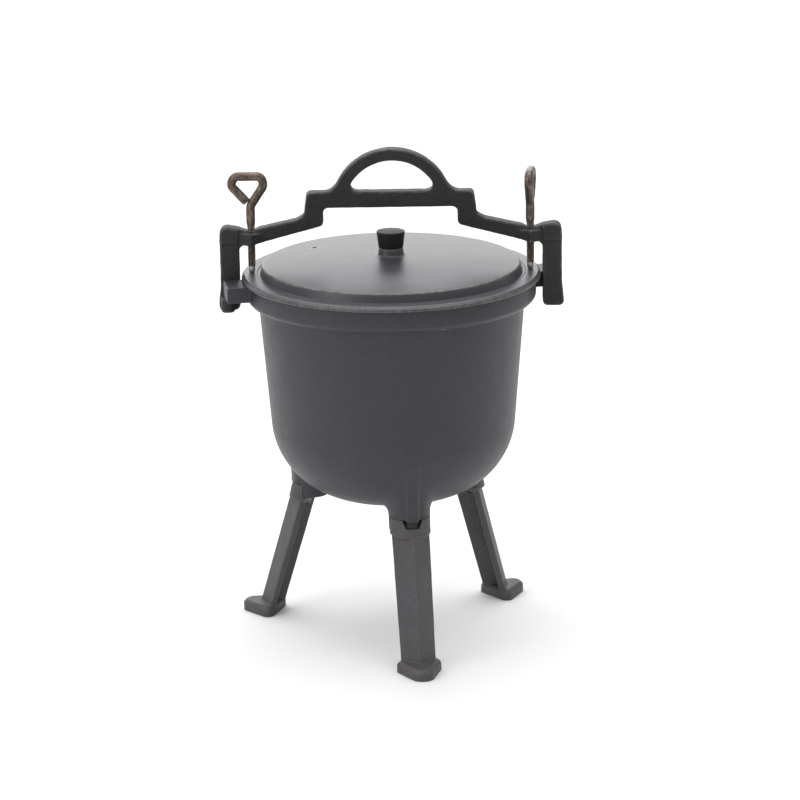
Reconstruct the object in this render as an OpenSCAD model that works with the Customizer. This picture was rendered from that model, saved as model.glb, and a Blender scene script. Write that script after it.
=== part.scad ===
// Three-legged cast iron dutch oven with a hooked yoke and two eye screws.
// Origin on the pot axis at the floor, +Z up, lugs along X, front leg along -Y, millimetres.

/* [Pot] */
// height of the rim above the floor
rim_z = 357; // [355:0.5:359]
// outer radius of the wall just below the rim band
wall_r = 128.5; // [127.5:0.5:129.5]
// slope of the wall, radius per height
wall_taper = 0.081; // [0.07:0.001:0.09]
// outer radius of the rounded corner between wall and bottom
corner_r = 78.4; // [76:0.2:80]
// outer radius of curvature of the bottom
bottom_r = 212.5; // [208:0.5:217]
// height of the lowest point of the bowl
bowl_z = 134.6; // [134:0.1:136]
// thickness of the wall
wall_t = 5.8; // [5:0.1:6.5]
// outer radius of the rim band
band_r = 139.5; // [138.5:0.1:140.5]
// distance of the lugs' flat end from the axis
lug_reach = 161; // [159:0.5:162]
// half the width of a lug
lug_half_w = 16.3; // [14:0.1:16.3]
// height of a lug
lug_h = 15.5; // [15:0.1:15.5]

/* [Legs] */
// distance of the leg bosses from the pot axis
boss_at = 89.2; // [88.8:0.1:89.8]
// radius of a leg boss
boss_r = 20; // [19.6:0.1:20.5]
// height of the bottom of a boss
boss_z = 129; // [128.8:0.1:129.4]
// outward slope of a leg, radius per height
leg_slope = 0.298; // [0.28:0.001:0.31]
// distance of a leg's ridge from the axis at the floor
ridge_at = 148.6; // [147:0.2:150]
// thickness of a leg's two flanges
leg_t = 6.5; // [5.5:0.1:6.8]
// height of the foot pads
foot_h = 11; // [9:0.5:13]
// distance of the leg bolts from the pot axis
bolt_at = 94.5; // [94:0.1:95]

/* [Lid] */
// outer radius of the lid
lid_r = 144; // [143:0.5:144.5]
// thickness of the domed plate
lid_t = 5; // [4:0.1:5.5]
// radius of the steam hole
vent_r = 2.5; // [1.5:0.1:4]
// radius of the top of the knob
knob_r = 14; // [13:0.1:15]
// height of the knob
knob_h = 15.8; // [14:0.1:17]

/* [Yoke] */
// angle of the yoke from the lugs when its legs rest against them
yoke_a = -9.4; // [-9.8:0.1:-9.4]
// thickness of the yoke
yoke_t = 14; // [12:0.5:14]
// outer radius of the arch
arch_r = 58.8; // [58.5:0.1:59.2]
// radius of the opening in the arch
arch_hole_r = 45.8; // [45.5:0.1:46]
// sideways offset of the arch from the middle of the yoke
arch_x = 1.8; // [0:0.1:2]

/* [Screws] */
// radius of the rod
rod_r = 4; // [3.9:0.01:4]
// radius of the bent eye, forged a little thicker than the thread
eye_r = 4.35; // [4.2:0.05:4.4]
// distance of the screws from the axis
screw_at = 134; // [133.6:0.1:134.4]

/* [Hidden] */

iron = [0.23, 0.24, 0.25];
steel = [0.36, 0.33, 0.29];
black = [0.08, 0.08, 0.08];
brass = [0.70, 0.56, 0.28];

gap = 0.3;
leg_count = 3;
leg_step = 360 / leg_count;
front_a = -90;
vent_at = [-65.6, 61.2];

// pot profile
taper_a = atan(wall_taper);
band_h = 21.4;
wall_top = [wall_r, rim_z - band_h];
down = [-sin(taper_a), -cos(taper_a)];
corner_base = wall_top - corner_r * [cos(taper_a), -sin(taper_a)];
bowl_c = [0, bowl_z + bottom_r];
to_base = corner_base - bowl_c;
along = to_base * down;
reach = sqrt(along * along - (to_base * to_base - pow(bottom_r - corner_r, 2))) - along;
corner_c = corner_base + reach * down;
join_a = atan2(corner_c.y - bowl_c.y, corner_c.x);
mouth_r = wall_r - wall_t / cos(taper_a) + band_h * tan(taper_a);

// leg joint
collar_in = boss_r - 4.2;
collar_out = boss_r - 0.4;
neck_r = collar_in - gap;
collar_top = boss_z + 13.3;
shelf_top = boss_z - gap;
shelf_z = boss_z - 6.5;
rib_w = 10.8;
rib_z = boss_z + 10;
bolt_hole_r = 3.3;
bolt_r = 3;
bolt_top = boss_z + 13;
washer_t = 1.2;
washer_r = 5.5;
head_h = 4;
head_r = 10 / 2 / cos(30);
shelf_in = boss_at - 1.7;
flange_top = 18.8;
flange_foot = 17.2;
slice = 0.1;

// lid and knob
seat_z = rim_z + gap;
ring_z = rim_z + 5.3;
dome_z = rim_z + 20.4;
dome_r = 1107;
dome_edge = 124.2;
under_z = dome_z - lid_t;
neck_z = rim_z + 28.2;
knob_z = neck_z + 0.2;
knob_foot_r = 11.8;
insert_r = 5;
stud_r = 3;

// yoke, heights from the rim
bar_under = rim_z + 68.5;
bar_top = rim_z + 84.3;
arch_c = [arch_x, rim_z + 66.6];
arch_hole_c = [arch_x, rim_z + 68];
leg_in = 145.6;
hook_z = rim_z - 30.6;
toe_top = rim_z - lug_h - 0.6;
boss_lo = rim_z + 34;
boss_hi = rim_z + 45.5;
bore_r = rod_r + 0.04;

// screws, heights from the rim
tip_r = 3;
tip_z = ring_z + gap;
thread_z = rim_z + 11.5;
thread_top = rim_z + 53;
thread_r = rod_r - 0.03;
eye_z = rim_z + 99.4;
lap = 0.3;
skin = 0.02;

function unit(v) = v / norm(v);
function arc(c, r, a0, a1, n, first = 0) =
    [for (i = [first:n]) c + r * [cos(a0 + (a1 - a0) * i / n), sin(a0 + (a1 - a0) * i / n)]];
function reversed(v) = [for (i = [len(v) - 1:-1:0]) v[i]];
function xy(v) = [v[0], v[1]];

// a rounded corner at b between a and c: start, end, centre, first angle, turn
function bend(a, b, c, r) =
    let (u = unit(a - b),
         v = unit(c - b),
         half = acos(u * v) / 2,
         s = b + u * r / tan(half),
         e = b + v * r / tan(half),
         m = b + unit(u + v) * r / sin(half),
         a0 = atan2(s.y - m.y, s.x - m.x),
         a1 = atan2(e.y - m.y, e.x - m.x))
    [s, e, m, a0, (a1 - a0 + 540) % 360 - 180];
function corner(a, b, c, n = 5) =
    b[2] == 0 ? [xy(b)]
    : let (k = bend(xy(a), xy(b), xy(c), b[2]))
      arc(k[2], b[2], k[3], k[3] + k[4], n);
function rounded(v) =
    [for (i = [0:len(v) - 1])
        each corner(v[(i + len(v) - 1) % len(v)], v[i], v[(i + 1) % len(v)])];

function shell(t) = concat(
    arc(bowl_c, bottom_r - t, -90, join_a, 9),
    arc(corner_c, corner_r - t, join_a, -taper_a, 11, 1));
function dome(r) = dome_z - dome_r + sqrt(dome_r * dome_r - r * r);
function ridge(z) = ridge_at - leg_slope * z;

module at_leg(i) {
    rotate([0, 0, front_a + i * leg_step]) children();
}

module upright(w) {
    rotate([90, 0, 0])
        linear_extrude(height = w, center = true) children();
}

// pot
module pot_outside() {
    rotate_extrude()
        polygon(concat(
            shell(0),
            [wall_top],
            rounded([
                [wall_top.x + 7.7, wall_top.y, 0],
                [band_r, wall_top.y + 3, 6],
                [band_r, rim_z, 1],
                [0, rim_z, 0]])));
}

module pot_inside() {
    rotate_extrude()
        polygon(concat(
            shell(wall_t),
            [[mouth_r, rim_z], [mouth_r + 1, rim_z + 1], [0, rim_z + 1]]));
}

module lug() {
    translate([0, 0, rim_z - lug_h])
        linear_extrude(height = lug_h)
            polygon(rounded([
                [wall_r + 2, -lug_half_w, 0],
                [lug_reach, -lug_half_w, 3],
                [lug_reach, lug_half_w, 3],
                [wall_r + 2, lug_half_w, 0]]));
}

module leg_boss() {
    translate([boss_at, 0, 0]) {
        translate([0, 0, boss_z])
            cylinder(r = neck_r, h = 19);
        difference() {
            translate([0, 0, boss_z])
                cylinder(r = boss_r, h = 19);
            translate([0, -boss_r - 1, boss_z - 1])
                cube([boss_r + 1, 2 * boss_r + 2, collar_top - boss_z + 1 + gap]);
        }
        translate([0, 0, collar_top + gap])
            cylinder(r1 = boss_r - 0.5, r2 = boss_r - 3, h = 42);
    }
}

module rib() {
    upright(rib_w)
        polygon([
            [boss_at, rib_z], [boss_at + 17.5, rib_z], [boss_at + 19, rib_z + 21],
            [boss_at + 21.3, rib_z + 41], [boss_at + 27, rib_z + 62], [boss_at + 10, rib_z + 62]]);
}

module pot() {
    color(iron)
        difference() {
            union() {
                pot_outside();
                for (a = [0, 180])
                    rotate([0, 0, a]) lug();
                for (i = [0:leg_count - 1])
                    at_leg(i) {
                        leg_boss();
                        rib();
                    }
            }
            pot_inside();
            for (i = [0:leg_count - 1])
                at_leg(i)
                    translate([bolt_at, 0, boss_z - 1])
                        cylinder(r = bolt_r + 0.05, h = bolt_top - boss_z + 3);
        }
}

// legs
module flange(side) {
    hull()
        for (k = [[0, flange_foot], [shelf_top - slice, flange_top]])
            translate([ridge(k[0]), 0, k[0]])
                linear_extrude(height = slice)
                    polygon([
                        [0, 0],
                        [-k[1], side * k[1]],
                        [-k[1] - leg_t / sqrt(2), side * (k[1] - leg_t / sqrt(2))],
                        [-leg_t * sqrt(2), 0]]);
}

module foot() {
    hull() {
        translate([152, 0, 0])
            cylinder(r = 11.5, h = foot_h, $fn = 32);
        for (y = [-15, 15])
            translate([132, y, 0])
                cylinder(r = 6.5, h = foot_h, $fn = 32);
    }
}

module collar() {
    difference() {
        translate([boss_at, 0, shelf_z])
            cylinder(r = collar_out, h = collar_top - shelf_z);
        translate([boss_at, 0, shelf_top])
            cylinder(r = collar_in, h = 30);
        translate([boss_at - 30, -30, shelf_top])
            cube([30 + gap, 60, 30]);
        translate([boss_at - 30, -30, shelf_z - 1])
            cube([shelf_in - boss_at + 30, 60, 30]);
        translate([boss_at + 10, 0, 0])
            rotate([90, 0, 90])
                linear_extrude(height = 15)
                    polygon([
                        [-6.5, boss_z + 5], [6.5, boss_z + 5],
                        [9, boss_z + 12], [9, boss_z + 20],
                        [-9, boss_z + 20], [-9, boss_z + 12]]);
    }
}

module leg(i) {
    color(iron)
        at_leg(i)
            difference() {
                union() {
                    flange(1);
                    flange(-1);
                    foot();
                    collar();
                }
                translate([bolt_at, 0, shelf_z - 1])
                    cylinder(r = bolt_hole_r, h = 9);
            }
}

module leg_bolt(i) {
    color(steel)
        at_leg(i)
            translate([bolt_at, 0, 0]) {
                translate([0, 0, shelf_z - washer_t - head_h])
                    cylinder(r = head_r, h = head_h, $fn = 6);
                translate([0, 0, shelf_z - washer_t - 1])
                    cylinder(r = bolt_r, h = bolt_top - shelf_z + washer_t + 1);
            }
}

module leg_washer(i) {
    color(steel)
        at_leg(i)
            translate([bolt_at, 0, shelf_z - washer_t])
                difference() {
                    cylinder(r = washer_r, h = washer_t);
                    translate([0, 0, -1])
                        cylinder(r = bolt_r + 0.2, h = washer_t + 2);
                }
}

module leg_front() {
    leg(0);
}

module leg_right() {
    leg(1);
}

module leg_left() {
    leg(2);
}

module leg_bolt_front() {
    leg_bolt(0);
}

module leg_bolt_right() {
    leg_bolt(1);
}

module leg_bolt_left() {
    leg_bolt(2);
}

module leg_washer_front() {
    leg_washer(0);
}

module leg_washer_right() {
    leg_washer(1);
}

module leg_washer_left() {
    leg_washer(2);
}

// lid
module lid() {
    color(iron)
        difference() {
            union() {
                rotate_extrude()
                    polygon(concat(
                        [for (i = [0:8]) [15 * i, dome(15 * i)]],
                        rounded([
                            [120, dome(120), 0],
                            [dome_edge, dome(dome_edge), 2],
                            [dome_edge + 2.3, ring_z - 0.8, 1],
                            [129, ring_z - 0.8, 0],
                            [129.6, ring_z, 0],
                            [141, ring_z, 1.5],
                            [lid_r, ring_z - 2.5, 2],
                            [lid_r, seat_z, 0.5],
                            [122, seat_z, 0],
                            [122, rim_z - 7, 1],
                            [118, rim_z - 7, 1],
                            [117.5, dome(116) - lid_t - 0.5, 4],
                            [105, dome(105) - lid_t, 0]]),
                        [for (i = [6:-1:0]) [15 * i, dome(15 * i) - lid_t]]));
                translate([0, 0, dome_z - 1.5])
                    cylinder(r1 = 12.6, r2 = 11.6, h = neck_z - dome_z + 1.5);
            }
            translate([0, 0, under_z - 1])
                cylinder(r = stud_r + 0.2, h = neck_z - under_z + 2);
            translate([vent_at.x, vent_at.y, under_z - 10])
                cylinder(r = vent_r, h = 30);
        }
}

module knob() {
    color(black)
        difference() {
            rotate_extrude()
                polygon(rounded([
                    [0, knob_z, 0],
                    [knob_foot_r, knob_z, 1],
                    [knob_r, knob_z + knob_h, 1.2],
                    [0, knob_z + knob_h, 0]]));
            translate([0, 0, knob_z - 1])
                cylinder(r = insert_r + 0.02, h = 12.6);
        }
}

module knob_insert() {
    color(brass)
        translate([0, 0, knob_z + 0.1])
            difference() {
                cylinder(r = insert_r, h = 11);
                translate([0, 0, -1])
                    cylinder(r = stud_r + 0.02, h = 13);
            }
}

module knob_screw() {
    color(steel) {
        translate([0, 0, under_z - 5])
            cylinder(r = 5, h = 3.8);
        translate([0, 0, under_z - 2])
            cylinder(r = stud_r, h = knob_z + 10 - under_z + 2);
    }
}

module knob_washer() {
    color(steel)
        translate([0, 0, under_z - 1.2])
            difference() {
                cylinder(r = 6.2, h = 1.1);
                translate([0, 0, -1])
                    cylinder(r = stud_r + 0.2, h = 4);
            }
}

// yoke
yoke_half = [
    [64.2, bar_under, 5],
    [64.2, rim_z + 51.7, 5],
    [133, rim_z + 33.4, 3],
    [leg_in, boss_lo - 1, 6],
    [leg_in, hook_z, 4],
    [166.6, hook_z, 5],
    [166.4, rim_z - 23, 0],
    [164.4, rim_z - 5, 0],
    [164.4, rim_z + 35, 0],
    [163.3, rim_z + 51.2, 6],
    [156, rim_z + 51, 2],
    [144, rim_z + 49, 2],
    [134, rim_z + 45.5, 3],
    [126, rim_z + 49.7, 3],
    [90, rim_z + 57.6, 6],
    [82.6, rim_z + 62, 5],
    [82.5, rim_z + 67, 0],
    [80.2, bar_top, 5]];

module yoke_plate() {
    upright(yoke_t)
        polygon(rounded(concat(
            yoke_half,
            [for (p = reversed(yoke_half)) [-p[0], p[1], p[2]]])));
}

arch_foot = bar_top - 1;
arch_a = asin((arch_foot - arch_c.y) / arch_r);
hole_foot = bar_top;
hole_a = asin((hole_foot - arch_hole_c.y) / arch_hole_r);
hole_x = arch_hole_r * cos(hole_a);

module arch() {
    upright(yoke_t)
        difference() {
            polygon(arc(arch_c, arch_r, arch_a, 180 - arch_a, 40));
            polygon(concat(
                arc(arch_hole_c, arch_hole_r, hole_a + 9, 171 - hole_a, 30),
                [[arch_x - hole_x + 1.4, hole_foot + 2.4], [arch_x - hole_x + 6, hole_foot],
                 [arch_x + hole_x - 6, hole_foot], [arch_x + hole_x - 1.4, hole_foot + 2.4]]));
        }
}

module hook_side() {
    upright(18)
        polygon(rounded([
            [146, boss_lo + 1, 0],
            [164.2, boss_lo + 1, 0],
            [163.3, rim_z + 51.2, 6],
            [156, rim_z + 51, 2],
            [145, rim_z + 49.2, 2]]));
    translate([0, 0, boss_lo])
        linear_extrude(height = boss_hi - boss_lo)
            polygon(rounded([
                [screw_at - 13, -6.5, 0], [screw_at, -13.5, 4], [screw_at + 13, -6.5, 0],
                [screw_at + 13, 6.5, 0], [screw_at, 13.5, 4], [screw_at - 13, 6.5, 0]]));
    translate([0, 0, hook_z])
        linear_extrude(height = toe_top - hook_z)
            polygon(rounded([
                [149.5, 5, 0], [165, 5, 0], [163.4, 19.8, 5.8], [150.9, 19.8, 5.6]]));
}

module yoke() {
    color(iron)
        rotate([0, 0, yoke_a])
            difference() {
                union() {
                    yoke_plate();
                    arch();
                    for (a = [0, 180])
                        rotate([0, 0, a]) hook_side();
                }
                for (x = [-screw_at, screw_at])
                    translate([x, 0, boss_lo - 5])
                        cylinder(r = bore_r, h = boss_hi - boss_lo + 30);
            }
}

// screws
eye_path = [
    [0, thread_top, 0],
    [0, eye_z - 28.8, 9],
    [13.2, eye_z - 8.8, 7],
    [10.8, eye_z, 6],
    [-15.2, eye_z, 6],
    [-18.3, eye_z - 8.8, 6],
    [-3.6, eye_z - 25, 0]];

module rod(p, q) {
    d = q - p;
    translate([p.x, 0, p.y])
        rotate([0, atan2(d.x, d.y), 0])
            translate([0, 0, -lap])
                cylinder(r = eye_r, h = norm(d) + 2 * lap);
}

module eye() {
    last = len(eye_path) - 1;
    bends = [for (i = [1:last - 1])
        bend(xy(eye_path[i - 1]), xy(eye_path[i]), xy(eye_path[i + 1]), eye_path[i][2])];
    stops = concat([xy(eye_path[0])], [for (k = bends) each [k[0], k[1]]],
                   [xy(eye_path[last])]);
    for (i = [0:last - 1])
        rod(stops[2 * i], stops[2 * i + 1]);
    for (i = [0:last - 2])
        translate([bends[i][2].x, 0, bends[i][2].y])
            rotate([90, 0, 0])
                rotate([0, 0, bends[i][3] + min(0, bends[i][4])])
                    rotate_extrude(angle = abs(bends[i][4]))
                        translate([eye_path[i + 1][2], 0])
                            circle(r = eye_r + skin);
}

module screw(x, eye_a) {
    color(steel)
        rotate([0, 0, yoke_a])
            translate([x, 0, 0])
                rotate([0, 0, eye_a]) {
                    translate([0, 0, thread_z])
                        cylinder(r = thread_r, h = thread_top - thread_z);
                    eye();
                }
}

module screw_tip(x) {
    color(steel)
        rotate([0, 0, yoke_a])
            translate([x, 0, tip_z])
                cylinder(r = tip_r, h = thread_z - 0.05 - tip_z);
}

module screw_left() {
    screw(-screw_at, 0);
}

module screw_right() {
    screw(screw_at, -97.5);
}

module screw_left_tip() {
    screw_tip(-screw_at);
}

module screw_right_tip() {
    screw_tip(screw_at);
}

pot();
lid();
knob();
knob_insert();
knob_screw();
knob_washer();
yoke();
screw_left();
screw_left_tip();
screw_right();
screw_right_tip();
leg_front();
leg_left();
leg_right();
leg_bolt_front();
leg_bolt_left();
leg_bolt_right();
leg_washer_front();
leg_washer_left();
leg_washer_right();
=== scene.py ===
"""Looks of the three-legged cast iron dutch oven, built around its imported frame.

Lengths are millimetres until piece() turns them into metres. The leg, its boss and the lug
are modelled once, standing along +X, and turned into place.
"""
import math

import bpy
import numpy as np
from mathutils import Matrix, Vector


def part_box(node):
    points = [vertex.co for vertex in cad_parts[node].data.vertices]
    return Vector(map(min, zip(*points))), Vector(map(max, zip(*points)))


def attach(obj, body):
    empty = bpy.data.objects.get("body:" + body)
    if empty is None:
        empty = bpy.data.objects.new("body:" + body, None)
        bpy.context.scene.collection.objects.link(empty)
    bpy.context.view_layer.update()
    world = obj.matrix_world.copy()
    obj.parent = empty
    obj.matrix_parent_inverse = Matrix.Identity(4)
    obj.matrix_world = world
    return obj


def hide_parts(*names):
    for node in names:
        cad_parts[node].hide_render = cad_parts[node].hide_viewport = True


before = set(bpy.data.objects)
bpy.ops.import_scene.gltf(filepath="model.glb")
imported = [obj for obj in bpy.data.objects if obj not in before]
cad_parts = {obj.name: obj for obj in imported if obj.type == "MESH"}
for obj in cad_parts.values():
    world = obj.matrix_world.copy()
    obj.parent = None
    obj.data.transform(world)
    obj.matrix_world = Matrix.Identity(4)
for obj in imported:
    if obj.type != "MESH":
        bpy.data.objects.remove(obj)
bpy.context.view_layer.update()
MM = 0.001


def edges_mm(node):
    """A node's lowest and highest corners in millimetres."""
    lo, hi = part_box(node)
    return np.array(lo) / MM, np.array(hi) / MM


# ---------------------------------------------------------------- sizes, mm
POT_LO, POT_HI = edges_mm("pot")
LID_HI = edges_mm("lid")[1]
YOKE_LO, YOKE_HI = edges_mm("yoke")
RIM = POT_HI[2]
LUG_REACH = POT_HI[0]
LID_R = LID_HI[0]
YOKE_TURN = math.radians(-9.4)
WALL_SLOPE = 0.081
TAPER = math.atan(WALL_SLOPE)
WALL_R, BAND_R, BAND_H = 128.5, 139.5, 21.4
CORNER_R, BOTTOM_R, BOWL_Z, WALL_T = 78.4, 212.5, 134.6, 5.8
LUG_HALF, LUG_H = 16.3, 15.5
BOSS_AT, BOSS_R, BOSS_Z = 89.2, 20.0, POT_LO[2]
NECK_R = 15.5
COLLAR_IN, COLLAR_OUT, COLLAR_TOP = 15.8, 19.6, BOSS_Z + 13.3
BOLT_AT, BOLT_TOP = 94.5, BOSS_Z + 13
BOLT_R, BOSS_HOLE_R, LEG_HOLE_R = 3.0, 3.05, 3.3
LEAN_SLOPE, LEAN_FROM = 0.23, 130
SHELF_Z, SHELF_TOP = BOSS_Z - 6.5, BOSS_Z - 0.3
RIDGE_AT, LEG_SLOPE, LEG_T = 148.6, 0.298, 6.5
FOOT_H = 11.0
RING_Z, DOME_Z, DOME_R = RIM + 5.3, RIM + 20.4, 1107.0
NECK_Z = LID_HI[2]
SCREW_AT, ROD_R, EYE_R, YOKE_HOLE_R = 134.0, 4.0, 4.35, 4.1
EYE_Z = RIM + 99.4
LEGS = {"front": -90.0, "right": 30.0, "left": 150.0}
VENT, VENT_R = (-65.6, 61.2), 2.5
CASTING_WAVES = 26

rng = np.random.default_rng(7)


# ---------------------------------------------------------------- 2D outlines
def arc(c, r, a0, a1, n, first=0):
    """Points on an arc about c, from a0 to a1 degrees."""
    t = np.radians(a0 + (a1 - a0) * np.arange(first, n + 1) / n)
    return [(c[0] + r * math.cos(v), c[1] + r * math.sin(v)) for v in t]


def rounded(points, n=6, closed=True):
    """Corners (x, y, radius) replaced by tangent arcs."""
    out = []
    count = len(points)
    for i, p in enumerate(points):
        b = np.array(p[:2], float)
        r = p[2]
        if r == 0 or (not closed and i in (0, count - 1)):
            out.append(tuple(b))
            continue
        a = np.array(points[i - 1][:2], float)
        c = np.array(points[(i + 1) % count][:2], float)
        u = (a - b) / np.linalg.norm(a - b)
        v = (c - b) / np.linalg.norm(c - b)
        half = math.acos(np.clip(u @ v, -1, 1)) / 2
        m = b + (u + v) / np.linalg.norm(u + v) * r / math.sin(half)
        s, e = b + u * r / math.tan(half), b + v * r / math.tan(half)
        a0 = math.degrees(math.atan2(*(s - m)[::-1]))
        a1 = math.degrees(math.atan2(*(e - m)[::-1]))
        turn = (a1 - a0 + 540) % 360 - 180
        out += arc(m, r, a0, a0 + turn, n)
    return out


def hull2(points):
    """Convex outline round 2D points, anticlockwise."""
    pts = sorted(set(points))

    def chain(seq):
        out = []
        for p in seq:
            while len(out) > 1 and (
                (out[-1][0] - out[-2][0]) * (p[1] - out[-2][1])
                - (out[-1][1] - out[-2][1]) * (p[0] - out[-2][0])
            ) <= 0:
                out.pop()
            out.append(p)
        return out[:-1]

    return chain(pts) + chain(pts[::-1])


# ---------------------------------------------------------------- distance fields
def smin(a, b, k):
    """Union of two distances, blended over a width k."""
    h = np.maximum(k - np.abs(a - b), 0) / k
    return np.minimum(a, b) - h * h * k / 4


def smax(a, b, k):
    """Intersection of two distances, blended over a width k."""
    return -smin(-a, -b, k)


def poly(outline):
    """Signed distance to a closed outline as a function of (x, y)."""
    p = np.array(outline, float)
    q = np.roll(p, -1, axis=0)

    def field(x, y):
        x, y = np.broadcast_arrays(x, y)
        best = np.full(x.shape, 1e9)
        inside = np.zeros(x.shape, bool)
        for (ax, ay), (bx, by) in zip(p, q):
            ex, ey = bx - ax, by - ay
            length = ex * ex + ey * ey
            if length == 0:
                continue
            t = np.clip(((x - ax) * ex + (y - ay) * ey) / length, 0, 1)
            best = np.minimum(best, (x - ax - t * ex) ** 2 + (y - ay - t * ey) ** 2)
            if ay != by:
                hit = ((ay > y) != (by > y)) & (x < ex * (y - ay) / ey + ax)
                inside ^= hit
        return np.sqrt(best) * np.where(inside, -1, 1)

    return field


def extruded(d, w, r):
    """A flat shape at distance d, cut off at |.| distance w, with edges of radius r."""
    a, b = d + r, w + r
    return (
        np.minimum(np.maximum(a, b), 0)
        + np.sqrt(np.maximum(a, 0) ** 2 + np.maximum(b, 0) ** 2)
        - r
    )


WAVES = rng.normal(size=(CASTING_WAVES, 3))
WAVES /= np.linalg.norm(WAVES, axis=1)[:, None]
WAVES *= 2 * math.pi / rng.uniform(7, 30, CASTING_WAVES)[:, None]
PHASES = rng.uniform(0, 2 * math.pi, CASTING_WAVES)


def lumps(x, y, z):
    """Slow random unevenness of a sand casting, from -1 to 1."""
    total = 0
    for k, p in zip(WAVES, PHASES):
        total = total + np.sin(k[0] * x + k[1] * y + k[2] * z + p)
    return np.clip(total / 9, -1, 1)


def skin(field, lo, hi, h, keep=None):
    """Quads over the zero level of a field (surface nets), on a grid of step h.

    keep drops the quads whose corners it turns down.
    """
    ax = [np.arange(lo[i], hi[i] + h, h) for i in range(3)]
    shape = tuple(len(a) for a in ax)
    x, y, z = ax[0][:, None, None], ax[1][None, :, None], ax[2][None, None, :]
    v = np.broadcast_to(field(x, y, z), shape)
    neg = v < 0
    total = np.zeros(tuple(s - 1 for s in shape), np.int8)
    corners = [(i, j, k) for i in (0, 1) for j in (0, 1) for k in (0, 1)]
    size = total.shape
    for i, j, k in corners:
        total += neg[i : i + size[0], j : j + size[1], k : k + size[2]]
    active = (total > 0) & (total < 8)
    cell = np.argwhere(active)
    index = np.full(size, -1, np.int64)
    index[active] = np.arange(len(cell))
    place = np.zeros((len(cell), 3))
    hits = np.zeros(len(cell))
    for axis in range(3):
        step = np.eye(3, dtype=int)[axis]
        for c in corners:
            if c[axis]:
                continue
            a = cell + c
            b = a + step
            va, vb = v[tuple(a.T)], v[tuple(b.T)]
            cross = (va < 0) != (vb < 0)
            t = np.where(cross, va / np.where(cross, va - vb, 1), 0)
            place[cross] += (a + t[:, None] * step)[cross]
            hits += cross
    pts = place / hits[:, None] * h + np.array([a[0] for a in ax])
    quads = []
    for axis in range(3):
        b, c = (axis + 1) % 3, (axis + 2) % 3
        low = [slice(None)] * 3
        high = [slice(None)] * 3
        low[axis], high[axis] = slice(0, -1), slice(1, None)
        n0, n1 = neg[tuple(low)], neg[tuple(high)]
        for sign in (False, True):
            e = np.argwhere((n0 != n1) & (n0 == sign))
            ok = np.all((e[:, [b, c]] > 0) & (e[:, [b, c]] < np.array(shape)[[b, c]] - 1), 1)
            e = e[ok]
            eb, ec = np.eye(3, dtype=int)[b], np.eye(3, dtype=int)[c]
            ring = [e - eb - ec, e - ec, e, e - eb]
            if not sign:
                ring = ring[::-1]
            quads.append(np.stack([index[tuple(r.T)] for r in ring], 1))
    quads = np.concatenate(quads)

    def at(p):
        return np.asarray(field(p[:, 0], p[:, 1], p[:, 2]), float)

    d = 0.05
    for _ in range(2):
        f = at(pts)
        g = np.stack([(at(pts + s) - at(pts - s)) / (2 * d) for s in np.eye(3) * d], 1)
        n2 = np.maximum((g * g).sum(1), 0.2)
        move = g * (np.clip(f, -h, h) / n2)[:, None]
        pts = pts - move
    if keep is not None:
        good = keep(pts[:, 0], pts[:, 1], pts[:, 2])
        quads = quads[good[quads].all(1)]
    used = np.unique(quads)
    new = np.full(len(pts), -1)
    new[used] = np.arange(len(used))
    return pts[used], [tuple(q) for q in new[quads]]


# ---------------------------------------------------------------- meshes
def lathe(profile, n=192, centre=(0, 0), phase=0.0):
    """Quads around Z from (r, z) points. Points at r = 0 close the end."""
    verts, faces, rows = [], [], []
    for r, z in profile:
        if r < 1e-6:
            rows.append([len(verts)])
            verts.append((centre[0], centre[1], z))
            continue
        rows.append(list(range(len(verts), len(verts) + n)))
        for i in range(n):
            a = phase + 2 * math.pi * i / n
            verts.append((centre[0] + r * math.cos(a), centre[1] + r * math.sin(a), z))
    for lo, hi in zip(rows, rows[1:]):
        for i in range(n):
            j = (i + 1) % n
            if len(lo) == 1:
                faces.append((lo[0], hi[j], hi[i]))
            elif len(hi) == 1:
                faces.append((lo[i], lo[j], hi[0]))
            else:
                faces.append((lo[i], lo[j], hi[j], hi[i]))
    return np.array(verts), faces


def turned(mesh, angle):
    """A mesh turned about Z by radians."""
    verts, faces = mesh
    c, s = math.cos(angle), math.sin(angle)
    x, y = verts[:, 0] * c - verts[:, 1] * s, verts[:, 0] * s + verts[:, 1] * c
    return np.stack([x, y, verts[:, 2]], 1), faces


def moved(mesh, by):
    """A mesh shifted by a vector."""
    return mesh[0] + np.array(by, float), mesh[1]


def joined(meshes):
    """Several meshes as one."""
    verts, faces, base = [], [], 0
    for v, f in meshes:
        verts.append(v)
        faces += [tuple(i + base for i in face) for face in f]
        base += len(v)
    return np.concatenate(verts), faces


def piece(name, mesh, material, body, nodes, sharp=None):
    """A mesh as an object on its body, standing for the named CAD nodes."""
    verts, faces = mesh
    data = bpy.data.meshes.new(name)
    data.from_pydata((verts * MM).tolist(), [], [tuple(int(i) for i in f) for f in faces])
    data.validate()
    data.shade_smooth()
    if sharp:
        data.set_sharp_from_angle(angle=math.radians(sharp))
    data.materials.append(material)
    obj = bpy.data.objects.new(name, data)
    bpy.context.scene.collection.objects.link(obj)
    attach(obj, body)
    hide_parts(*nodes)
    return obj


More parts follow.
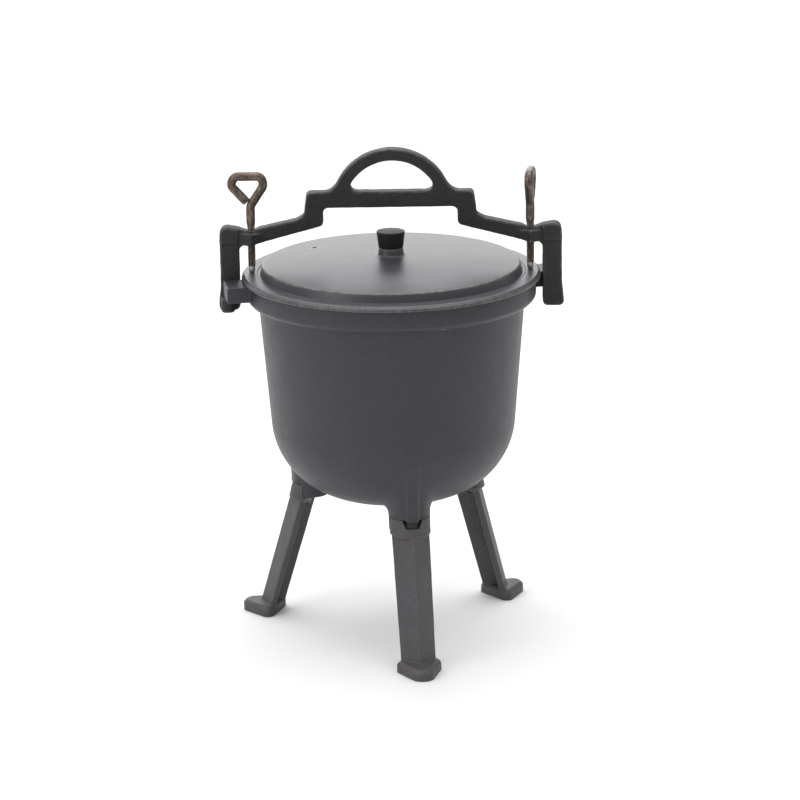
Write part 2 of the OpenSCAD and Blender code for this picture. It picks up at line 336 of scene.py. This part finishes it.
# ---------------------------------------------------------------- materials
class Graph:
    """A small helper for node materials."""

    def __init__(self, name):
        self.material = bpy.data.materials.new(name)
        self.material.use_nodes = True
        self.tree = self.material.node_tree
        self.shader = self.tree.nodes["Principled BSDF"]
        self.place = self.tree.nodes.new("ShaderNodeTexCoord").outputs["Object"]

    def put(self, target, value):
        if hasattr(value, "is_output"):
            self.tree.links.new(value, target)
        else:
            target.default_value = value

    def noise(self, scale, detail=4, rough=0.6, stretch=None):
        node = self.tree.nodes.new("ShaderNodeTexNoise")
        node.inputs["Scale"].default_value = scale
        node.inputs["Detail"].default_value = detail
        node.inputs["Roughness"].default_value = rough
        source = self.place
        if stretch:
            m = self.tree.nodes.new("ShaderNodeMapping")
            m.inputs["Scale"].default_value = stretch
            self.put(m.inputs["Vector"], source)
            source = m.outputs["Vector"]
        self.put(node.inputs["Vector"], source)
        return node.outputs["Fac"]

    def cells(self, scale):
        node = self.tree.nodes.new("ShaderNodeTexVoronoi")
        node.inputs["Scale"].default_value = scale
        self.put(node.inputs["Vector"], self.place)
        return node.outputs["Distance"]

    def span(self, value, a, b, lo=0.0, hi=1.0):
        node = self.tree.nodes.new("ShaderNodeMapRange")
        self.put(node.inputs["Value"], value)
        for key, v in (("From Min", a), ("From Max", b), ("To Min", lo), ("To Max", hi)):
            node.inputs[key].default_value = v
        return node.outputs["Result"]

    def math(self, kind, a, b):
        node = self.tree.nodes.new("ShaderNodeMath")
        node.operation = kind
        self.put(node.inputs[0], a)
        self.put(node.inputs[1], b)
        return node.outputs[0]

    def mix(self, fac, a, b):
        node = self.tree.nodes.new("ShaderNodeMix")
        node.data_type = "RGBA"
        self.put(node.inputs["Factor"], fac)
        for socket, value in (("A", a), ("B", b)):
            target = [s for s in node.inputs if s.name == socket and s.type == "RGBA"][0]
            self.put(target, value if hasattr(value, "is_output") else (*value, 1))
        return [s for s in node.outputs if s.type == "RGBA"][0]

    def edge(self, a, b):
        """1 on sharp outer edges, 0 elsewhere."""
        node = self.tree.nodes.new("ShaderNodeNewGeometry")
        return self.span(node.outputs["Pointiness"], a, b)

    def bump(self, height, distance, strength=1.0, under=None):
        node = self.tree.nodes.new("ShaderNodeBump")
        node.inputs["Distance"].default_value = distance
        node.inputs["Strength"].default_value = strength
        self.put(node.inputs["Height"], height)
        if under is not None:
            self.put(node.inputs["Normal"], under)
        return node.outputs["Normal"]

    def finish(self, colour, rough, normal, metallic=0.0, specular=0.5):
        self.put(self.shader.inputs["Base Color"], colour)
        self.put(self.shader.inputs["Roughness"], rough)
        self.put(self.shader.inputs["Normal"], normal)
        self.put(self.shader.inputs["Metallic"], metallic)
        self.shader.inputs["Specular IOR Level"].default_value = specular
        return self.material


def cast_iron(name, dark, light, rough, grain, depth, specks=0.0, rust=0.0, specular=0.5,
              worn_and_highlight_tone=(0.3, 0.3, 0.31), edge=(0.54, 0.62), wave=2.2, patchy=0.06, salt=0.45):
    """Seasoned iron: fine sand grain depth mm deep, lighter on its edges as rubbed wear and as
    a painted highlight.
    """
    g = Graph(name)
    broad = g.noise(22, 5, 0.65)
    fine = g.noise(grain, 5, 0.7)
    colour = g.mix(g.span(broad, 0.3, 0.7), dark, light)
    colour = g.mix(g.span(fine, 0.4, 0.66, 0, salt), colour, tuple(c * 1.9 for c in light))
    if rust:
        patch = g.math("MULTIPLY", g.edge(0.5, 0.55), g.span(g.noise(60, 6, 0.7), 0.38, 0.55))
        colour = g.mix(g.math("MULTIPLY", patch, rust), colour, (0.1, 0.06, 0.036))
        stain = g.span(g.noise(45, 6, 0.75), 0.55, 0.8, 0, rust * 0.5)
        colour = g.mix(stain, colour, (0.10, 0.066, 0.045))
    if specks:
        dots = g.span(g.cells(420), 0.0, 0.16, specks, 0)
        some = g.math("MULTIPLY", dots, g.span(g.noise(90, 3), 0.5, 0.62))
        colour = g.mix(some, colour, worn_and_highlight_tone)
    # Convex edges painted lighter: partly rubbed wear, partly a painted highlight.
    edge_wear_and_highlight = g.math("MULTIPLY", g.edge(*edge), g.span(g.noise(170, 5, 0.7), 0.4, 0.6, 0.15, 1))
    colour = g.mix(g.math("MULTIPLY", edge_wear_and_highlight, 0.75), colour, worn_and_highlight_tone)
    low = g.math("SUBTRACT", g.span(g.noise(70, 4), 0.3, 0.7, rough - patchy, rough + patchy),
                 g.math("MULTIPLY", edge_wear_and_highlight, 0.18))
    normal = g.bump(fine, depth * MM)
    normal = g.bump(g.noise(grain / 4, 3), depth * wave * MM, 0.6, normal)
    return g.finish(colour, low, normal, g.math("MULTIPLY", edge_wear_and_highlight, 0.7), specular)


def turned_steel(name, dark, light, rough, brown, metallic=0.85):
    """Bare metal with brown patches."""
    g = Graph(name)
    streak = g.noise(420, 5, 0.75, (1, 1, 0.35))
    colour = g.mix(g.span(streak, 0.36, 0.68), dark, light)
    patch = g.span(g.noise(130, 6, 0.75), 0.38, 0.62)
    colour = g.mix(g.math("MULTIPLY", patch, brown), colour, (0.075, 0.04, 0.022))
    edge_wear_and_highlight = g.edge(0.53, 0.6)
    colour = g.mix(g.math("MULTIPLY", edge_wear_and_highlight, 0.5), colour, tuple(min(1, c * 2.2) for c in light))
    low = g.span(g.noise(200, 4), 0.3, 0.7, rough, rough + 0.22)
    metal = g.math("SUBTRACT", metallic, g.math("MULTIPLY", patch, brown * 0.6))
    return g.finish(colour, low, g.bump(g.noise(800, 4), 0.25 * MM), metal)


def phenolic(name):
    """Scuffed black moulded plastic."""
    g = Graph(name)
    scuff = g.noise(400, 6, 0.8)
    colour = g.mix(g.span(scuff, 0.45, 0.8), (0.006, 0.006, 0.0065), (0.016, 0.0155, 0.015))
    colour = g.mix(g.math("MULTIPLY", g.edge(0.51, 0.58), 0.5), colour, (0.08, 0.08, 0.08))
    low = g.span(g.noise(120, 4), 0.3, 0.7, 0.5, 0.62)
    return g.finish(colour, low, g.bump(g.noise(1100, 3), 0.03 * MM), specular=0.25)


POT_IRON = cast_iron("pot_iron", (0.017, 0.0175, 0.0225), (0.022, 0.0225, 0.0285), 0.45, 620,
                     0.3, specks=0.25, wave=0.3, patchy=0.03, salt=0.5)
# The lid's convex edges are painted much lighter and warmer: partly rubbed wear, partly a
# painted highlight.
LID_IRON = cast_iron("lid_iron", (0.024, 0.0245, 0.031), (0.029, 0.0295, 0.037), 0.4, 620,
                     0.17, specular=0.62, worn_and_highlight_tone=(0.42, 0.38, 0.33), edge=(0.505, 0.545),
                     wave=0.1, patchy=0.012, salt=0.5)
# The yoke's edges are painted lighter: partly chipped wear, partly a painted highlight.
YOKE_IRON = cast_iron("yoke_iron", (0.003, 0.003, 0.0034), (0.009, 0.009, 0.0095), 0.58, 480,
                      0.9, specks=1.0, worn_and_highlight_tone=(0.2, 0.195, 0.19), edge=(0.515, 0.565), salt=0.8,
                      wave=0.6)
LEG_IRON = cast_iron("leg_iron", (0.04, 0.039, 0.043), (0.057, 0.055, 0.06), 0.55, 620, 0.34,
                     rust=0.6, worn_and_highlight_tone=(0.16, 0.13, 0.1), edge=(0.51, 0.57), wave=0.4)
SCREW_STEEL = turned_steel("screw_steel", (0.022, 0.018, 0.016), (0.3, 0.25, 0.21), 0.28, 0.7)
TIP_STEEL = turned_steel("tip_steel", (0.3, 0.29, 0.28), (0.5, 0.49, 0.47), 0.25, 0.15)
BOLT_STEEL = turned_steel("bolt_steel", (0.03, 0.029, 0.029), (0.07, 0.067, 0.065), 0.45, 0.5)
BRASS = turned_steel("brass", (0.5, 0.36, 0.14), (0.66, 0.5, 0.22), 0.3, 0.1)
KNOB_BLACK = phenolic("knob_black")


# ---------------------------------------------------------------- pot
WALL_TOP = np.array([WALL_R, RIM - BAND_H])
DOWN = np.array([-math.sin(TAPER), -math.cos(TAPER)])
BOWL_C = np.array([0, BOWL_Z + BOTTOM_R])
CORNER_BASE = WALL_TOP - CORNER_R * np.array([math.cos(TAPER), -math.sin(TAPER)])
TO_BASE = CORNER_BASE - BOWL_C
ALONG = TO_BASE @ DOWN
REACH = math.sqrt(ALONG**2 - (TO_BASE @ TO_BASE - (BOTTOM_R - CORNER_R) ** 2)) - ALONG
CORNER_C = CORNER_BASE + REACH * DOWN
JOIN = math.degrees(math.atan2(CORNER_C[1] - BOWL_C[1], CORNER_C[0]))


def shell(t):
    """Section of the bowl, t inside its surface, from the bottom to the band."""
    low = arc(BOWL_C, BOTTOM_R - t, -90, JOIN, 26)
    return low + arc(CORNER_C, CORNER_R - t, JOIN, -math.degrees(TAPER), 40, 1)


def bowl(x, y, z):
    """Signed distance to the bowl's outside, without its band."""
    r = np.hypot(x, y)
    a = np.degrees(np.arctan2(z - CORNER_C[1], r - CORNER_C[0]))
    line = (r - WALL_TOP[0]) * math.cos(TAPER) - (z - WALL_TOP[1]) * math.sin(TAPER)
    corner = np.hypot(r - CORNER_C[0], z - CORNER_C[1]) - CORNER_R
    bottom = np.hypot(r - BOWL_C[0], z - BOWL_C[1]) - BOTTOM_R
    out = np.where(a > -math.degrees(TAPER), line, np.where(a > JOIN, corner, bottom))
    return np.where(r < 30, bottom, out)


def lean(z):
    """Distance of a boss's axis, which leans in towards the bowl."""
    return BOSS_AT + 0.8 - LEAN_SLOPE * np.clip(z - LEAN_FROM, -6, 16)


def boss(x, y, z):
    """Bowl, leg boss and rib as one casting; the boss stands at (BOSS_AT, 0)."""
    rad = np.hypot(x - lean(z), y)
    column = extruded(rad - BOSS_R, BOSS_Z - z, 1.0)
    recess = smax(smax(BOSS_AT - x, z - COLLAR_TOP - 0.3, 1.2), NECK_R - rad, 0.6)
    column = smax(column, -recess, 0.8)
    out = smin(bowl(x, y, z), column, 12)
    face = np.interp(z, [139, 160, 172, 180, 190, 200, 207, 214],
                     [106.7, 108.2, 109, 110.5, 114, 116.2, 113, 105])
    rib = extruded(np.maximum(x - face, 95 - x), np.abs(y) - 5.3, 1.6)
    rib = smax(rib, 139 - z, 1.5)
    out = smin(out, rib, 3.0)
    hole = smax(np.hypot(x - BOLT_AT, y) - BOSS_HOLE_R, z - BOLT_TOP - 1, 0.3)
    return smax(out, -hole, 0.3)


def proud(field, by=0.02):
    """A test for the points that stand out of a field's surface."""
    def test(x, y, z):
        return field(x, y, z) > by

    return test


def lug(x, y, z):
    """Band and one lug as one casting, at +X."""
    slab = extruded(
        np.maximum(x - LUG_REACH, np.abs(y) - LUG_HALF),
        np.abs(z - RIM + LUG_H / 2) - LUG_H / 2, 1.3)
    return smin(slab, band(x, y, z), 2.0)


def band(x, y, z):
    """Signed distance to the band's outer cylinder."""
    return np.hypot(x, y) - BAND_R + 0 * z


def pot_mesh():
    """The lathed bowl with three bosses and two lugs grown out of it."""
    mouth = WALL_R - WALL_T / math.cos(TAPER) + BAND_H * math.tan(TAPER)
    outside = rounded([
        (*WALL_TOP, 0), (WALL_R + 7.7, WALL_TOP[1], 0.8), (BAND_R, WALL_TOP[1] + 3, 6),
        (BAND_R, RIM, 1.3), (mouth, RIM, 1.6), (mouth - 0.5, RIM - 8, 0)], 5, closed=False)
    rows = shell(0)
    rows[0] = (0.0, rows[0][1])
    inner = shell(WALL_T)[::-1]
    inner[-1] = (0.0, inner[-1][1])
    wall = [tuple(np.array(rows[-1]) * (1 - t) + WALL_TOP * t)
            for t in (0.25, 0.5, 0.75, 0.985)]
    body = lathe(rows + wall + outside + inner, 288)
    boss_mesh = skin(boss, (52, -42, BOSS_Z - 1.5), (126, 42, 214), 0.9, proud(bowl))
    lug_mesh = skin(lug, (128, -21, RIM - LUG_H - 3), (LUG_REACH + 2, 21, RIM + 1.5), 0.7,
                    proud(band, 0.05))
    parts = [body]
    parts += [turned(boss_mesh, math.radians(a)) for a in LEGS.values()]
    parts += [turned(lug_mesh, a) for a in (0, math.pi)]
    return joined(parts)


piece("pot_casting", pot_mesh(), POT_IRON, "pot", ["pot"], sharp=60)


# ---------------------------------------------------------------- legs
FOOT_PLAN = poly(hull2(arc((152, 0), 11.5, 0, 360, 36) + arc((132, 15), 6.5, 0, 360, 24)
                       + arc((132, -15), 6.5, 0, 360, 24)))


def leg(x, y, z):
    """Signed distance to a leg: angle section, half shelf, half collar and foot pad."""
    u = RIDGE_AT - LEG_SLOPE * z - x
    wide = 16.9 + (z / SHELF_TOP) * 1.7
    side = np.sqrt(y * y + 0.1)
    out = (side - u) * 0.7
    back = -out - LEG_T * 0.97
    end = (side + u) * 0.7 - wide * 1.414
    vee = smax(smax(out, back, 0.8), end, 0.9)
    vee = smax(vee, z - SHELF_TOP, 0.8)
    rad = np.hypot(x - lean(z), y)
    shelf = extruded(rad - COLLAR_OUT, np.maximum(SHELF_Z - z, z - SHELF_TOP), 0.8)
    cone = (rad - COLLAR_OUT) * 0.7 + (SHELF_Z + 4.0 - z) * 0.7
    shelf = smax(smax(shelf, cone, 0.4), BOSS_AT - 1.7 - x, 0.8)
    ring = extruded(np.maximum(rad - COLLAR_OUT, COLLAR_IN - rad),
                    np.maximum(SHELF_TOP - 3 - z, z - COLLAR_TOP), 0.7)
    ring = smax(ring, BOSS_AT + 0.3 - x, 0.8)
    width = np.interp(z, [134, 141, 146], [6.5, 9.0, 9.2])
    notch = smax(smax(np.abs(y) - width, 134 - z, 1.5), BOSS_AT + 8 - x, 0.5)
    ring = smax(ring, -notch, 0.8)
    plan = FOOT_PLAN(x, y)
    pad = extruded(plan, z - FOOT_H, 0.5)
    pad = smax(pad, (plan + z - FOOT_H) * 0.707 + 2.3, 0.6)
    d = smin(smin(vee, shelf, 0.5), ring, 0.6)
    d = smin(d, pad, 1.6)
    d = smax(d, LEG_HOLE_R - np.hypot(x - BOLT_AT, y) + 0 * z, 0.3)
    return smax(d + 0.14 * (lumps(x, y, z) + 1) / 2, -z, 0.3)


leg_mesh = skin(leg, (68, -23, -1.0), (165, 23, COLLAR_TOP + 1), 0.8)
for side, angle in LEGS.items():
    piece("leg_casting_" + side, turned(leg_mesh, math.radians(angle)), LEG_IRON, "pot",
          ["leg_" + side])


def hex_bolt(radius, head_r, head_z, head_h, top):
    """A hexagon head with turned corners, under a plain shank with a chamfered end."""
    verts, faces = [], []
    n = 48
    rows = []
    for z, trim in ((head_z, 1.0), (head_z + 0.9, 0.0), (head_z + head_h, 0.0)):
        row = []
        for i in range(n):
            a = 2 * math.pi * i / n
            flat = head_r * math.cos(math.pi / 6) / math.cos((a % (math.pi / 3)) - math.pi / 6)
            r = min(flat, head_r * 0.99 - trim)
            row.append(len(verts))
            verts.append((r * math.cos(a), r * math.sin(a), z))
        rows.append(row)
    for lo, hi in zip(rows, rows[1:]):
        faces += [(lo[i], lo[(i + 1) % n], hi[(i + 1) % n], hi[i]) for i in range(n)]
    faces += [tuple(rows[0][::-1]), tuple(rows[-1])]
    head = np.array(verts), faces
    shank = lathe([(0, head_z + head_h - 0.5), (radius, head_z + head_h - 0.5),
                   (radius, top - 0.8), (radius - 0.8, top), (0, top)], 40)
    return joined([head, shank])


def ring_mesh(inner, outer, lo, hi, bevel=0.25):
    """A flat ring with bevelled edges."""
    loop = rounded([(inner, lo, bevel), (outer, lo, bevel), (outer, hi, bevel),
                    (inner, hi, bevel)], 3)
    return lathe(loop + loop[:1], 56)


WASHER_T, WASHER_IN, WASHER_OUT = 1.2, 3.2, 5.5
HEAD_H, HEAD_R = 4.0, 5.77
for side, angle in LEGS.items():
    a = math.radians(angle)
    spot = (BOLT_AT * math.cos(a), BOLT_AT * math.sin(a), 0)
    bolt = hex_bolt(BOLT_R, HEAD_R, SHELF_Z - WASHER_T - HEAD_H, HEAD_H, BOLT_TOP)
    piece("bolt_" + side, moved(bolt, spot), BOLT_STEEL, "pot",
          ["leg_bolt_" + side], sharp=30)
    washer = ring_mesh(WASHER_IN, WASHER_OUT, SHELF_Z - WASHER_T, SHELF_Z - 0.02)
    piece("washer_" + side, moved(washer, spot), BOLT_STEEL, "pot",
          ["leg_washer_" + side], sharp=40)


# ---------------------------------------------------------------- lid and knob
def dome(r):
    """Height of the lid's top at radius r."""
    return DOME_Z - DOME_R + math.sqrt(DOME_R**2 - r * r)


LID_T = 5.0


def lid_mesh():
    """The lathed lid with its raised ring, neck and spigot ring below."""
    top = [(r, dome(r)) for r in np.linspace(15.5, 118, 30)]
    rim = rounded([
        (119, dome(119), 0), (124.2, dome(124.2), 2.2), (126.4, RING_Z - 0.9, 0.9),
        (128.8, RING_Z - 0.9, 0.4), (129.7, RING_Z, 0.5), (141, RING_Z, 1.8),
        (LID_R, RING_Z - 2.7, 1.6), (LID_R, RIM + 0.3, 0.6), (122, RIM + 0.3, 0.6),
        (122, RIM - 7, 1), (118, RIM - 7, 1), (117.5, dome(116) - LID_T - 0.5, 4),
        (108, dome(108) - LID_T, 0)], 5, closed=False)
    under = [(r, dome(r) - LID_T) for r in np.linspace(100, 3.2, 20)]
    neck = rounded([
        (3.2, NECK_Z, 0.0), (11.6, NECK_Z, 0.8), (12.5, DOME_Z + 0.6, 2.0),
        (16.5, dome(16.5), 0)], 5, closed=False)
    profile = neck + top[1:] + rim + under
    profile.append(profile[0])
    return lathe(profile[::-1], 288)


lid = piece("lid_casting", lid_mesh(), LID_IRON, "lid", ["lid"], sharp=50)


def drilled(obj, centre, radius, lo, hi):
    """Cuts a round hole through a piece."""
    tool = lathe([(0, lo), (radius, lo), (radius, hi), (0, hi)], 40, centre)
    data = bpy.data.meshes.new("tool")
    data.from_pydata((tool[0] * MM).tolist(), [], tool[1])
    cutter = bpy.data.objects.new("tool", data)
    bpy.context.scene.collection.objects.link(cutter)
    m = obj.modifiers.new("hole", "BOOLEAN")
    m.object, m.operation, m.solver = cutter, "DIFFERENCE", "EXACT"
    view = bpy.context.evaluated_depsgraph_get()
    cut = bpy.data.meshes.new_from_object(obj.evaluated_get(view))
    obj.modifiers.clear()
    obj.data = cut
    bpy.data.objects.remove(cutter)


drilled(lid, VENT, VENT_R, DOME_Z - 20, DOME_Z + 5)

KNOB_LO, KNOB_HI = edges_mm("knob")


def knob_mesh():
    """The lathed knob with the blind hole for its insert."""
    z0, z1 = KNOB_LO[2], KNOB_HI[2]
    profile = rounded([
        (5.05, z0 + 11.5, 0), (5.05, z0, 0.4), (11.8, z0, 0.6), (KNOB_HI[0], z1, 0.7),
        (0, z1, 0)], 5, closed=False)
    return lathe([(0, z0 + 11.5)] + profile, 96)


piece("knob_body", knob_mesh(), KNOB_BLACK, "lid", ["knob"], sharp=50)

INSERT_LO, INSERT_HI = edges_mm("knob_insert")
piece("knob_insert_body", ring_mesh(3.02, 5.0, INSERT_LO[2], INSERT_HI[2]), BRASS, "lid",
      ["knob_insert"], sharp=40)
SCREW_LO, SCREW_HI = edges_mm("knob_screw")
piece("knob_screw_body", hex_bolt(3.0, 5.0, SCREW_LO[2], 3.8, SCREW_HI[2]), BOLT_STEEL, "lid",
      ["knob_screw"], sharp=30)
WASH_LO, WASH_HI = edges_mm("knob_washer")
piece("knob_washer_body", ring_mesh(3.2, 6.2, WASH_LO[2], WASH_HI[2], 0.2), BOLT_STEEL, "lid",
      ["knob_washer"], sharp=40)


# ---------------------------------------------------------------- yoke
BAR_UNDER, BAR_TOP = RIM + 68.5, RIM + 84.3
ARCH_X, ARCH_Z, ARCH_R = 1.8, RIM + 66.6, YOKE_HI[2] - RIM - 66.6
HOLE_Z, HOLE_R = RIM + 68, 45.8
LEG_IN, HOOK_Z, TOE_TOP = 145.6, YOKE_LO[2], RIM - LUG_H - 0.6
EAR_LO, EAR_HI = RIM + 34, RIM + 45.5
YOKE_HALF = [
    (64.2, BAR_UNDER, 5), (64.2, RIM + 51.2, 5), (133, RIM + 33.2, 3),
    (LEG_IN, EAR_LO - 1, 6), (LEG_IN, HOOK_Z, 5), (166.5, HOOK_Z, 5), (166.3, RIM - 23, 6),
    (164.4, RIM - 5, 8), (164.4, RIM + 35, 0), (163.3, RIM + 51.2, 6), (156, RIM + 51, 2),
    (144, RIM + 49, 2), (134, RIM + 45.5, 3), (126, RIM + 49.7, 3), (90, RIM + 57.6, 6),
    (82.6, RIM + 62, 5), (82.5, RIM + 67, 0), (80.2, BAR_TOP, 5)]
PLATE = poly(rounded(YOKE_HALF + [(-x, z, r) for x, z, r in YOKE_HALF[::-1]], 5))
KNEE = poly(rounded([(146, EAR_LO + 1, 2), (164.2, EAR_LO + 1, 2), (163.3, RIM + 51.2, 6),
                     (156, RIM + 51, 2), (145, RIM + 49.2, 2)], 4))
EAR = poly(rounded([(121, -6.5, 0), (134, -13.4, 1.5), (147, -6.5, 0), (147, 6.5, 0),
                    (134, 13.4, 1.5), (121, 6.5, 0)], 4))
TOE = poly(rounded([(149.5, 4, 1), (165, 4, 1), (163.4, 19.8, 5.8), (150.9, 19.8, 5.6)], 5))


def yoke(x, y, z):
    """Signed distance to the yoke: bar and arch, knees, ears and hooked toes."""
    side = np.where(x < 0, -1, 1)
    ax, ay = np.abs(x), y * side
    flat = PLATE(x, z)
    ring = smax(np.hypot(x - ARCH_X, z - ARCH_Z) - ARCH_R, BAR_TOP - 3 - z, 0.5)
    flat = smin(flat, ring, 10.0)
    hole = smax(np.hypot(x - ARCH_X, z - HOLE_Z) - HOLE_R, BAR_TOP - z, 12.0)
    flat = np.maximum(flat, -hole)
    d = extruded(flat, np.abs(y) - 6.95, 1.8)
    knee = extruded(KNEE(ax, z), np.abs(ay) - 8.95, 1.8)
    d = smin(d, knee, 2.2)
    under = np.maximum(EAR_LO - 0.5 - z, RIM + 47.8 - 0.265 * (ax - 79) - z)
    ear = extruded(EAR(ax, ay), np.maximum(under, z - EAR_HI), 1.1)
    d = smin(d, ear, 1.4)
    toe = extruded(TOE(ax, ay), np.maximum(HOOK_Z - z, z - TOE_TOP), 2.2)
    d = smin(d, toe, 2.2)
    d = smax(d, YOKE_HOLE_R - np.hypot(ax - SCREW_AT, ay) + 0 * z, 0.6)
    return d + 0.3 * (lumps(x, y, z) + 1) / 2


yoke_mesh = skin(yoke, (-168, -22, HOOK_Z - 1.5), (168, 22, YOKE_HI[2] + 1.5), 1.0)
piece("yoke_casting", turned(yoke_mesh, YOKE_TURN), YOKE_IRON, "yoke", ["yoke"])


# ---------------------------------------------------------------- clamp screws
PITCH, THREAD_LO, THREAD_HI = 1.25, RIM + 11.5, RIM + 53.0
GROOVE = 0.72
EYE = [(0, THREAD_HI, 0), (0, EYE_Z - 28.8, 9), (13.2, EYE_Z - 8.8, 7), (10.8, EYE_Z, 6),
       (-15.2, EYE_Z, 6), (-18.3, EYE_Z - 8.8, 6), (-3.6, EYE_Z - 25, 0)]


def thread_mesh(n=36, step=PITCH / 8):
    """A helical V thread, running out into the plain shank."""
    z = THREAD_LO
    verts, faces = [], []
    rows = []
    while z < THREAD_HI + 1e-6:
        row = []
        for i in range(n):
            a = 2 * math.pi * i / n
            phase = ((z / PITCH - i / n) % 1.0) * 2 - 1
            groove = min(GROOVE, max(0.0, (1 - abs(phase)) * 1.15 - 0.12))
            fade = min(1, (THREAD_HI - z) / 3.0, (z - THREAD_LO) / 1.0 + 0.25)
            lead = max(0, 0.9 - (z - THREAD_LO)) * 0.9
            r = ROD_R - 0.05 - max(groove * max(fade, 0), lead)
            row.append(len(verts))
            verts.append((r * math.cos(a), r * math.sin(a), z))
        rows.append(row)
        z += step
    for lo, hi in zip(rows, rows[1:]):
        faces += [(lo[i], lo[(i + 1) % n], hi[(i + 1) % n], hi[i]) for i in range(n)]
    faces.append(tuple(rows[0][::-1]))
    return np.array(verts), faces


def tube(path, radius, n=28):
    """A round rod along points in the XZ plane, with a bevelled far end."""
    path = np.array(path)
    verts, faces, rows = [], [], []
    tangents = np.gradient(path, axis=0)
    tangents /= np.linalg.norm(tangents, axis=1)[:, None]
    length = np.r_[0, np.cumsum(np.linalg.norm(np.diff(path, axis=0), axis=1))]
    for k, (p, t) in enumerate(zip(path, tangents)):
        left = length[-1] - length[k]
        r = radius - max(0, 0.6 - left) * 0.9
        r -= 0.05 * (1 + math.sin(length[k] * 0.45)) * min(1, length[k] / 8)
        r -= 0.4 * max(0, 1 - length[k] / 2)
        side = np.array([t[1], -t[0]])
        row = []
        for i in range(n):
            a = 2 * math.pi * i / n
            q = p + side * (r * math.cos(a))
            row.append(len(verts))
            verts.append((q[0], r * math.sin(a), q[1]))
        rows.append(row)
    for lo, hi in zip(rows, rows[1:]):
        faces += [(lo[i], lo[(i + 1) % n], hi[(i + 1) % n], hi[i]) for i in range(n)]
    faces.append(tuple(rows[-1]))
    return np.array(verts), faces


def even(points, step):
    """Points spaced evenly along a polyline, the last 1 mm finely."""
    p = np.array(points)
    keep = np.r_[True, np.linalg.norm(np.diff(p, axis=0), axis=1) > 1e-6]
    p = p[keep]
    s = np.r_[0, np.cumsum(np.linalg.norm(np.diff(p, axis=0), axis=1))]
    at = np.r_[np.arange(0, s[-1] - 1, step), s[-1] - np.array([0.9, 0.6, 0.3, 0.0])]
    return np.stack([np.interp(at, s, p[:, i]) for i in (0, 1)], 1)


def screw_mesh():
    """Thread, shank and bent eye of one clamp screw."""
    line = even(rounded(EYE, 14, closed=False), 0.9)
    return joined([thread_mesh(), tube(line, EYE_R)])


def tip_mesh():
    """The dog point that slides on the lid."""
    lo, hi = edges_mm("screw_right_tip")
    return lathe([(0, lo[2]), (2.2, lo[2]), (2.9, lo[2] + 0.7), (3.0, lo[2] + 1.0),
                  (3.0, hi[2] - 0.3), (2.8, hi[2]), (0, hi[2])], 40)


for side, sign, eye_turn in (("left", -1, 0.0), ("right", 1, -97.5)):
    spot = (sign * SCREW_AT * math.cos(YOKE_TURN), sign * SCREW_AT * math.sin(YOKE_TURN), 0)
    rod = turned(screw_mesh(), YOKE_TURN + math.radians(eye_turn))
    piece("clamp_screw_" + side, moved(rod, spot), SCREW_STEEL, side + "_screw",
          ["screw_" + side], sharp=50)
    piece("dog_point_" + side, moved(tip_mesh(), spot), TIP_STEEL, side + "_tip",
          ["screw_" + side + "_tip"], sharp=40)


# ---------------------------------------------------------------- studio
def camera():
    """The camera, in front of the part, turned by theta about Z into the frame."""
    theta, pitch, yaw, roll = (math.radians(v) for v in (9.107, 16.15, 0.133, 0.848))
    far, high, focal = 3.2102, 1.1615, 154.43

    def to_frame(v):
        c, s = math.cos(theta), math.sin(theta)
        return Vector((v[0] * c + v[1] * s, -v[0] * s + v[1] * c, v[2]))

    forward = Vector((math.sin(yaw) * math.cos(pitch), math.cos(yaw) * math.cos(pitch),
                      -math.sin(pitch)))
    right = Vector((math.cos(yaw), -math.sin(yaw), 0))
    up = right.cross(forward)
    right, up = (right * math.cos(roll) - up * math.sin(roll),
                 right * math.sin(roll) + up * math.cos(roll))
    axes = [to_frame(v) for v in (right, up, -forward)]
    place = Matrix([[axes[j][i] for j in range(3)] for i in range(3)]).to_4x4()
    place.translation = to_frame((0, -far, high))
    data = bpy.data.cameras.new("camera")
    data.lens, data.sensor_width, data.shift_x = focal, 36, -0.0011
    data.clip_end = 200
    obj = bpy.data.objects.new("camera", data)
    obj.matrix_world = place
    bpy.context.scene.collection.objects.link(obj)
    bpy.context.scene.camera = obj


def softbox(name, spot, aim, size, power):
    """A rectangular area light aimed at a point."""
    data = bpy.data.lights.new(name, "AREA")
    data.shape, data.size, data.size_y, data.energy = "RECTANGLE", size[0], size[1], power
    obj = bpy.data.objects.new(name, data)
    obj.location = spot
    obj.rotation_euler = (Vector(aim) - Vector(spot)).to_track_quat("-Z", "Y").to_euler()
    bpy.context.scene.collection.objects.link(obj)


def studio():
    """A white floor, a white sky and three soft lights."""
    data = bpy.data.meshes.new("floor")
    s = 40.0
    data.from_pydata([(-s, -s, 0), (s, -s, 0), (s, s, 0), (-s, s, 0)], [], [(0, 1, 2, 3)])
    floor = bpy.data.objects.new("floor", data)
    g = Graph("floor")
    tone = g.mix(g.span(g.noise(0.8, 3), 0.3, 0.7), (0.86, 0.86, 0.86), (0.88, 0.88, 0.88))
    data.materials.append(g.finish(tone, 0.9, g.bump(g.noise(30, 3), 0.01 * MM), specular=0.1))
    bpy.context.scene.collection.objects.link(floor)
    world = bpy.data.worlds.new("studio")
    bpy.context.scene.world = world
    world.use_nodes = True
    back = world.node_tree.nodes["Background"]
    back.inputs["Color"].default_value = (1, 1, 1, 1)
    back.inputs["Strength"].default_value = 0.56
    softbox("over", (0, 0.3, 2.4), (0, 0, 0.3), (3.2, 3.2), 70)
    softbox("rear", (-0.4, 5.2, 1.9), (0, 0, 0.3), (6.0, 2.4), 110)
    softbox("left", (-3.0, -1.6, 1.7), (0, 0, 0.25), (1.6, 1.6), 26)
    bpy.context.scene.view_settings.view_transform = "Standard"


camera()
studio()
